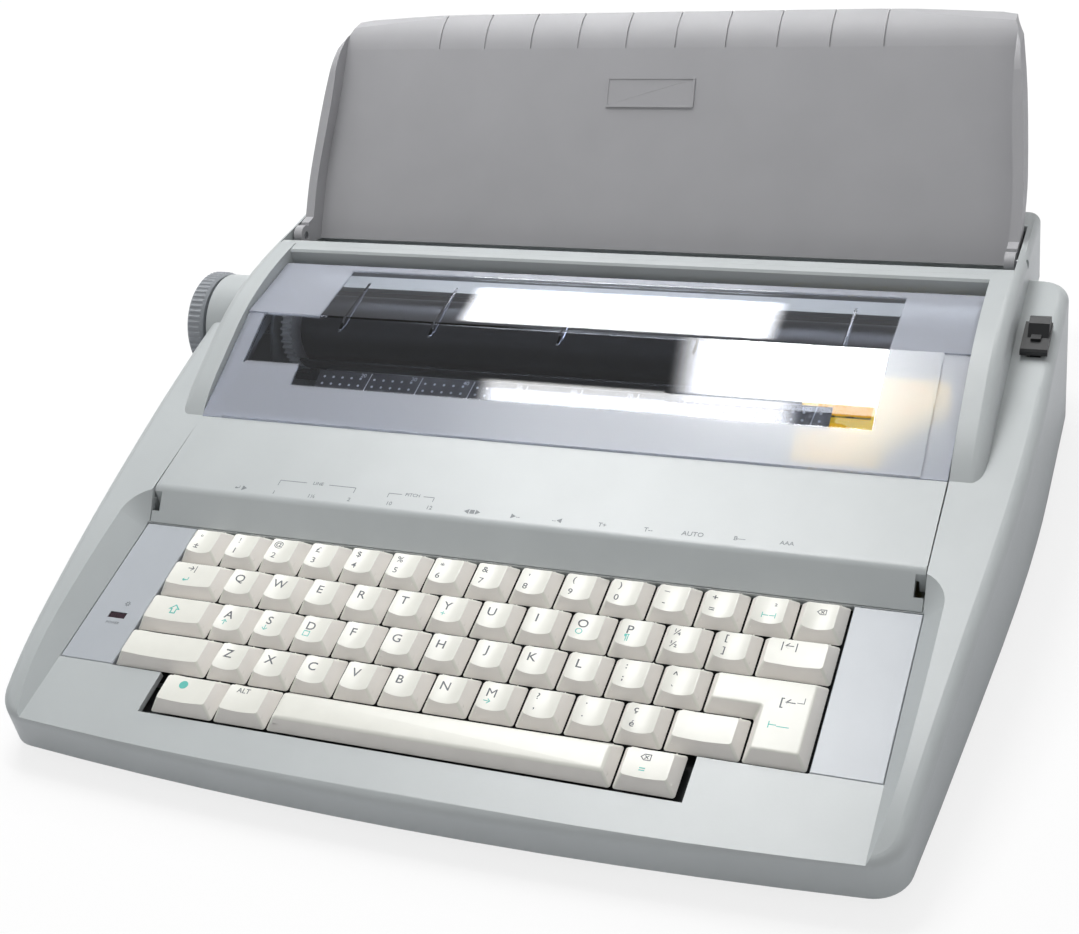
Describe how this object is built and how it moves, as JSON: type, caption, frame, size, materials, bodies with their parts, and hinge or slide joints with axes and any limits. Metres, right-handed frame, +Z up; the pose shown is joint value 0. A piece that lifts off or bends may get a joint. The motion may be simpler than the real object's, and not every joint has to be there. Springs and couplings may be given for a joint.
{
  "type": "electronic typewriter",
  "caption": "Low grey electronic typewriter with a sloping keyboard, a hinged cover with a clear window, a side platen knob and a folding paper support.",
  "frame": {"origin": "under the middle of the machine's bounding box, on the surface its feet stand on, with the platen knob and the raised paper support counted in", "axes": "+X to the typist's right along the platen, +Y away from the typist, +Z up"},
  "size_m": [0.4114, 0.3874, 0.1579],
  "materials": {
    "case_grey": "fine grained moulded housing",
    "plate_grey": "smooth satin plate",
    "support_grey": "satin moulded panel",
    "key_white": "satin key tops on darker skirts",
    "black_rubber": "ground smooth",
    "foot_rubber": "plain",
    "black_plastic": "satin",
    "dark_plastic": "satin",
    "white_plastic": "satin",
    "yellow_plastic": "glossy moulding",
    "clear_plastic": "clear moulded window with frosted borders",
    "red_lens": "translucent lamp window",
    "steel": "ground bar",
    "zinc_steel": "bright zinc plate",
    "brass": "turned",
    "board_green": "solder resist",
    "dome_grey": "moulded silicone",
    "core_brown": "varnished laminations",
    "scale_black": "printed strip"
  },
  "bodies": {
    "case": {"lower_case": "case_grey", "upper_case": "case_grey", "case_screws": "zinc_steel", "rubber_feet": "foot_rubber", "left_side_plate": "plate_grey", "right_side_plate": "plate_grey", "lamp_window": "red_lens", "cover_pins": "steel", "keyboard_plate": "zinc_steel", "dome_sheet": "dome_grey", "keyboard_board": "board_green", "feed_motor": "zinc_steel", "pinch_shaft": "steel", "paper_pan": "black_plastic", "left_frame": "zinc_steel", "right_frame": "zinc_steel", "support_pins": "steel", "carriage_rail": "steel", "carriage_motor": "zinc_steel", "drive_belt": "foot_rubber", "main_board": "board_green", "mains_inlet": "black_plastic", "switch_housing": "black_plastic", "transformer": "core_brown"},
    "cover": {"top_cover": "case_grey", "clear_lid": "clear_plastic", "scale_strip": "scale_black"},
    "support": {"paper_support": "support_grey"},
    "platen_set": {"platen": "black_rubber", "platen_shaft": "steel", "platen_knob": "black_plastic", "platen_gear": "white_plastic"},
    "idler": {"idler_gear": "white_plastic"},
    "pinion": {"feed_pinion": "brass"},
    "rollers": {"pinch_rollers": "foot_rubber"},
    "lever": {"release_lever": "black_plastic"},
    "carriage_set": {"carriage": "dark_plastic", "wheel_motor": "zinc_steel", "hammer_solenoid": "zinc_steel", "ribbon_cassette": "yellow_plastic"},
    "wheel": {"daisy_wheel": "dark_plastic"},
    "hammer": {"print_hammer": "steel"},
    "spools": {"correction_spools": "white_plastic"},
    "drive": {"drive_pulley": "white_plastic"},
    "return_pulley": {"idler_pulley": "white_plastic"},
    "rocker": {"power_rocker": "black_plastic"},
    "number_row_keys_set": {"number_row_keys": "key_white"},
    "upper_letter_keys_set": {"upper_letter_keys": "key_white"},
    "home_letter_keys_set": {"home_letter_keys": "key_white"},
    "lower_letter_keys_set": {"lower_letter_keys": "key_white"},
    "tab_key_set": {"tab_key": "key_white"},
    "relocate_key_set": {"relocate_key": "key_white"},
    "shift_lock_key_set": {"shift_lock_key": "key_white"},
    "left_shift_key_set": {"left_shift_key": "key_white"},
    "right_shift_key_set": {"right_shift_key": "key_white"},
    "code_key_set": {"code_key": "key_white"},
    "alternate_key_set": {"alternate_key": "key_white"},
    "space_bar_set": {"space_bar": "key_white"},
    "correction_key_set": {"correction_key": "key_white"},
    "return_key_set": {"return_key": "key_white"}
  },
  "joints": [
    {"name": "cover_hinge", "type": "hinge", "parent": "case", "child": "cover", "pos_m": [0.0067, 0.07035, 0.072], "axis": [-1, 0, 0], "range_deg": [0, 75]},
    {"name": "support_hinge", "type": "hinge", "parent": "case", "child": "support", "pos_m": [0.0067, 0.10335, 0.079], "axis": [-1, 0, 0], "range_deg": [-126, 0]},
    {"name": "platen_turn", "type": "hinge", "parent": "case", "child": "platen_set", "pos_m": [0.0067, 0.06335, 0.049], "axis": [1, 0, 0], "continuous": true},
    {"name": "idler_turn", "type": "hinge", "parent": "case", "child": "idler", "pos_m": [-0.1508, 0.08764, 0.03721], "axis": [1, 0, 0], "continuous": true},
    {"name": "pinion_turn", "type": "hinge", "parent": "case", "child": "pinion", "pos_m": [-0.1508, 0.09635, 0.025], "axis": [1, 0, 0], "continuous": true},
    {"name": "roller_turn", "type": "hinge", "parent": "case", "child": "rollers", "pos_m": [0.0067, 0.07093, 0.02819], "axis": [1, 0, 0], "continuous": true},
    {"name": "lever_turn", "type": "hinge", "parent": "case", "child": "lever", "pos_m": [0.197, 0.06235, 0.034], "axis": [1, 0, 0], "range_deg": [0, 8]},
    {"name": "carriage_slide", "type": "slide", "parent": "case", "child": "carriage_set", "axis": [-1, 0, 0], "range_m": [0, 0.245]},
    {"name": "drive_turn", "type": "hinge", "parent": "case", "child": "drive", "pos_m": [-0.1443, -0.01765, 0.02], "axis": [0, 0, 1], "range_deg": [0, 1800]},
    {"name": "return_pulley_turn", "type": "hinge", "parent": "case", "child": "return_pulley", "pos_m": [0.1577, -0.01765, 0.02], "axis": [0, 0, 1], "range_deg": [0, 1800]},
    {"name": "wheel_turn", "type": "hinge", "parent": "carriage_set", "child": "wheel", "pos_m": [0.1397, 0.03214, 0.03667], "axis": [0, -0.8192, 0.5736], "continuous": true},
    {"name": "hammer_slide", "type": "slide", "parent": "carriage_set", "child": "hammer", "axis": [0, 0.8192, -0.5736], "range_m": [0, 0.001], "stiffness_N_per_m": 60, "springref_m": -0.0004},
    {"name": "spool_turn", "type": "hinge", "parent": "carriage_set", "child": "spools", "pos_m": [0.1397, 0.02149, 0.04413], "axis": [1, 0, 0], "continuous": true},
    {"name": "rocker_turn", "type": "hinge", "parent": "case", "child": "rocker", "pos_m": [0.0767, 0.14035, 0.034], "axis": [0, 0, 1], "range_deg": [-14, 0]},
    {"name": "number_row_keys_press", "type": "slide", "parent": "case", "child": "number_row_keys_set", "axis": [0, 0.1392, -0.9903], "range_m": [0, 0.003], "stiffness_N_per_m": 900, "springref_m": -0.0008},
    {"name": "upper_letter_keys_press", "type": "slide", "parent": "case", "child": "upper_letter_keys_set", "axis": [0, 0.1392, -0.9903], "range_m": [0, 0.003], "stiffness_N_per_m": 900, "springref_m": -0.0008},
    {"name": "home_letter_keys_press", "type": "slide", "parent": "case", "child": "home_letter_keys_set", "axis": [0, 0.1392, -0.9903], "range_m": [0, 0.003], "stiffness_N_per_m": 900, "springref_m": -0.0008},
    {"name": "lower_letter_keys_press", "type": "slide", "parent": "case", "child": "lower_letter_keys_set", "axis": [0, 0.1392, -0.9903], "range_m": [0, 0.003], "stiffness_N_per_m": 900, "springref_m": -0.0008},
    {"name": "tab_key_press", "type": "slide", "parent": "case", "child": "tab_key_set", "axis": [0, 0.1392, -0.9903], "range_m": [0, 0.003], "stiffness_N_per_m": 220, "springref_m": -0.0008},
    {"name": "relocate_key_press", "type": "slide", "parent": "case", "child": "relocate_key_set", "axis": [0, 0.1392, -0.9903], "range_m": [0, 0.003], "stiffness_N_per_m": 220, "springref_m": -0.0008},
    {"name": "shift_lock_key_press", "type": "slide", "parent": "case", "child": "shift_lock_key_set", "axis": [0, 0.1392, -0.9903], "range_m": [0, 0.003], "stiffness_N_per_m": 220, "springref_m": -0.0008},
    {"name": "left_shift_key_press", "type": "slide", "parent": "case", "child": "left_shift_key_set", "axis": [0, 0.1392, -0.9903], "range_m": [0, 0.003], "stiffness_N_per_m": 220, "springref_m": -0.0008},
    {"name": "right_shift_key_press", "type": "slide", "parent": "case", "child": "right_shift_key_set", "axis": [0, 0.1392, -0.9903], "range_m": [0, 0.003], "stiffness_N_per_m": 220, "springref_m": -0.0008},
    {"name": "code_key_press", "type": "slide", "parent": "case", "child": "code_key_set", "axis": [0, 0.1392, -0.9903], "range_m": [0, 0.003], "stiffness_N_per_m": 220, "springref_m": -0.0008},
    {"name": "alternate_key_press", "type": "slide", "parent": "case", "child": "alternate_key_set", "axis": [0, 0.1392, -0.9903], "range_m": [0, 0.003], "stiffness_N_per_m": 220, "springref_m": -0.0008},
    {"name": "space_bar_press", "type": "slide", "parent": "case", "child": "space_bar_set", "axis": [0, 0.1392, -0.9903], "range_m": [0, 0.003], "stiffness_N_per_m": 220, "springref_m": -0.0008},
    {"name": "correction_key_press", "type": "slide", "parent": "case", "child": "correction_key_set", "axis": [0, 0.1392, -0.9903], "range_m": [0, 0.003], "stiffness_N_per_m": 220, "springref_m": -0.0008},
    {"name": "return_key_press", "type": "slide", "parent": "case", "child": "return_key_set", "axis": [0, 0.1392, -0.9903], "range_m": [0, 0.003], "stiffness_N_per_m": 220, "springref_m": -0.0008}
  ],
  "couplings": [
    {"joint": "idler_turn", "follows": "platen_turn", "ratio": -2},
    {"joint": "pinion_turn", "follows": "platen_turn", "ratio": 3},
    {"joint": "roller_turn", "follows": "platen_turn", "ratio": -3},
    {"joint": "drive_turn", "follows": "carriage_slide", "rad_per_m": 125},
    {"joint": "return_pulley_turn", "follows": "carriage_slide", "rad_per_m": 125}
  ]
}
